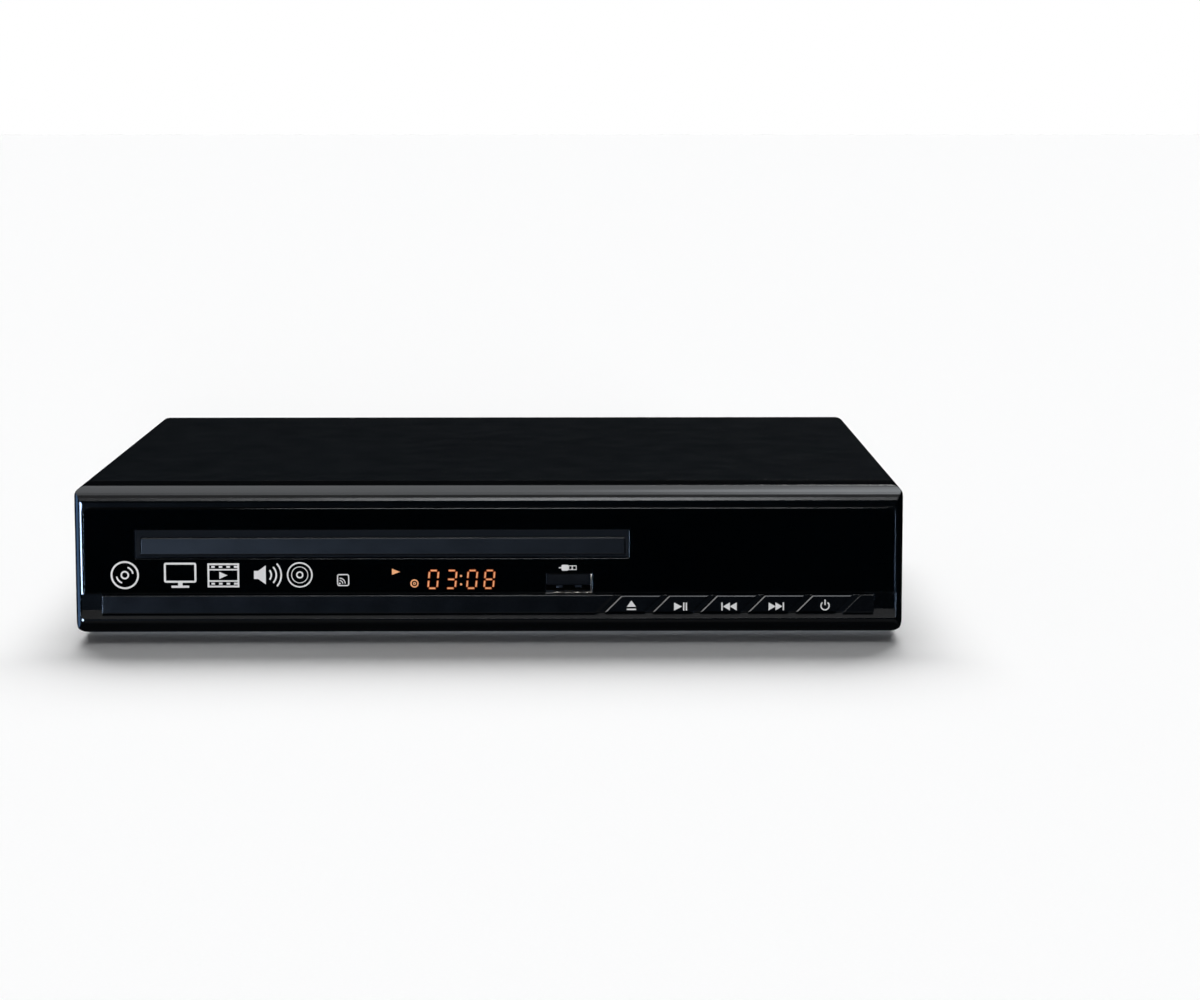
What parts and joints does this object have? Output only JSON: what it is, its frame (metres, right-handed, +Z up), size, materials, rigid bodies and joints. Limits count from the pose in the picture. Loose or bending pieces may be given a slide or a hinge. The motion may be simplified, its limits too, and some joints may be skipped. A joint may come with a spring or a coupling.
{
  "type": "disc player",
  "caption": "Compact disc player with a motor-driven loading tray, glossy front with a slanted key strip, lit clock display, port and rear sockets.",
  "frame": {"origin": "middle of the whole object's footprint, on the surface that the feet stand on", "axes": "+X to the right seen from the front, the front and its tray face -Y, +Z up"},
  "size_m": [0.225, 0.198, 0.043],
  "materials": {
    "zinc_steel": "zinc-plated sheet, dull",
    "cover_black": "fine satin black powder coat",
    "foot_rubber": "matte",
    "bezel_black": "polished black moulding",
    "fascia_gloss": "mirror-gloss black",
    "key_strip": "dark blue-grey satin lacquer",
    "door_satin": "dark blue-grey satin lacquer",
    "display_black": "matte",
    "board_green": "green solder mask",
    "board_brown": "bare phenolic laminate",
    "receiver_dark": "dark infrared window",
    "switch_grey": "satin",
    "nickel": "nickel plate",
    "socket_white": "satin",
    "frame_black": "satin moulding",
    "damper_rubber": "matte",
    "motor_steel": "satin plate",
    "belt_rubber": "matte",
    "screw_steel": "bright",
    "chip_black": "matte",
    "capacitor_sleeve": "shrunk sleeve",
    "transformer_tape": "yellow tape over ferrite",
    "sink_aluminium": "extruded",
    "socket_black": "satin",
    "standoff_brass": "turned",
    "cable_white": "satin film",
    "tray_black": "fine satin moulding",
    "gear_acetal": "waxy",
    "pulley_brass": "turned",
    "slider_white": "waxy",
    "hub_black": "satin",
    "puck_white": "satin",
    "pickup_cast": "die-cast zinc, satin",
    "lens_glass": "polished"
  },
  "bodies": {
    "case": {"bottom_pan": "zinc_steel", "top_cover": "cover_black", "rear_panel": "cover_black", "rubber_feet": "foot_rubber", "front_bezel": "bezel_black", "fascia_panel": "fascia_gloss", "key_rail": "key_strip", "display_module": "display_black", "front_board": "board_green", "main_board": "board_green", "power_board": "board_brown", "ir_receiver": "receiver_dark", "tact_switches": "switch_grey", "port_shell": "nickel", "av_socket": "nickel", "jack_sleeves": "nickel", "port_tongue": "socket_white", "jack_inserts": "socket_white", "loader_frame": "frame_black", "clamp_bridge": "frame_black", "loader_dampers": "damper_rubber", "loading_motor": "motor_steel", "drive_belt": "belt_rubber", "bridge_screws": "screw_steel", "board_screws": "screw_steel", "cover_screws": "screw_steel", "inlet_pins": "screw_steel", "decoder_chips": "chip_black", "board_capacitors": "capacitor_sleeve", "mains_capacitor": "capacitor_sleeve", "power_transformer": "transformer_tape", "heat_sink": "sink_aluminium", "mains_inlet": "socket_black", "jack_housing": "socket_black", "board_standoffs": "standoff_brass", "flat_cable": "cable_white"},
    "tray": {"disc_tray": "tray_black", "tray_door": "door_satin"},
    "loading_gear": {"drive_gear": "gear_acetal"},
    "belt_pulley": {"pulley_gear": "gear_acetal"},
    "motor_drive": {"motor_pulley": "pulley_brass"},
    "slider": {"cam_slider": "slider_white"},
    "deck": {"deck_frame": "frame_black", "spindle_motor": "motor_steel", "guide_rods": "screw_steel", "sled_motor": "motor_steel"},
    "hub": {"turntable": "hub_black"},
    "clamper": {"clamper_puck": "puck_white", "clamper_magnet": "motor_steel"},
    "pickup": {"optical_pickup": "pickup_cast", "pickup_lens": "lens_glass"},
    "sled_screw": {"lead_screw": "screw_steel"},
    "open_button": {"key_open": "key_strip"},
    "play_button": {"key_play": "key_strip"},
    "previous_button": {"key_previous": "key_strip"},
    "next_button": {"key_next": "key_strip"},
    "power_button": {"key_power": "key_strip"}
  },
  "joints": [
    {"name": "tray_slide", "type": "slide", "parent": "case", "child": "tray", "axis": [0, -1, 0], "range_m": [0, 0.132]},
    {"name": "loading_gear_spin", "type": "hinge", "parent": "case", "child": "loading_gear", "pos_m": [0.019, -0.066, 0.0145], "axis": [0, 0, 1], "continuous": true},
    {"name": "belt_pulley_spin", "type": "hinge", "parent": "case", "child": "belt_pulley", "pos_m": [0.00074, -0.07193, 0.016], "axis": [0, 0, 1], "continuous": true},
    {"name": "motor_spin", "type": "hinge", "parent": "case", "child": "motor_drive", "pos_m": [-0.026, -0.0735, 0.02], "axis": [0, 0, 1], "continuous": true},
    {"name": "deck_tilt", "type": "hinge", "parent": "case", "child": "deck", "pos_m": [-0.0288, 0.058, 0.02], "axis": [1, 0, 0], "range_deg": [-4.37, 0]},
    {"name": "slider_shift", "type": "slide", "parent": "case", "child": "slider", "axis": [1, 0, 0], "range_m": [0, 0.01402]},
    {"name": "hub_spin", "type": "hinge", "parent": "deck", "child": "hub", "pos_m": [-0.0288, -0.03043, 0.02227], "axis": [0, -0.0761, 0.9971], "continuous": true},
    {"name": "clamper_spin", "type": "hinge", "parent": "case", "child": "clamper", "pos_m": [-0.0288, -0.03, 0.035], "axis": [0, 0, 1], "continuous": true},
    {"name": "pickup_slide", "type": "slide", "parent": "deck", "child": "pickup", "axis": [0, 0.9971, 0.0761], "range_m": [0, 0.034]},
    {"name": "sled_screw_spin", "type": "hinge", "parent": "deck", "child": "sled_screw", "pos_m": [-0.0036, 0.00055, 0.0106], "axis": [0, 0.9971, 0.0761], "continuous": true},
    {"name": "open_press", "type": "slide", "parent": "case", "child": "open_button", "axis": [0, 1, 0], "range_m": [0, 0.0005], "stiffness_N_per_m": 900},
    {"name": "play_press", "type": "slide", "parent": "case", "child": "play_button", "axis": [0, 1, 0], "range_m": [0, 0.0005], "stiffness_N_per_m": 900},
    {"name": "previous_press", "type": "slide", "parent": "case", "child": "previous_button", "axis": [0, 1, 0], "range_m": [0, 0.0005], "stiffness_N_per_m": 900},
    {"name": "next_press", "type": "slide", "parent": "case", "child": "next_button", "axis": [0, 1, 0], "range_m": [0, 0.0005], "stiffness_N_per_m": 900},
    {"name": "power_press", "type": "slide", "parent": "case", "child": "power_button", "axis": [0, 1, 0], "range_m": [0, 0.0005], "stiffness_N_per_m": 900}
  ],
  "couplings": [
    {"joint": "loading_gear_spin", "follows": "tray_slide", "rad_per_m": -178.57},
    {"joint": "belt_pulley_spin", "follows": "tray_slide", "rad_per_m": 535.71},
    {"joint": "motor_spin", "follows": "tray_slide", "rad_per_m": 1875},
    {"joint": "slider_shift", "follows": "deck_tilt", "m_per_rad": -0.1837},
    {"joint": "sled_screw_spin", "follows": "pickup_slide", "rad_per_m": 2094.4}
  ]
}
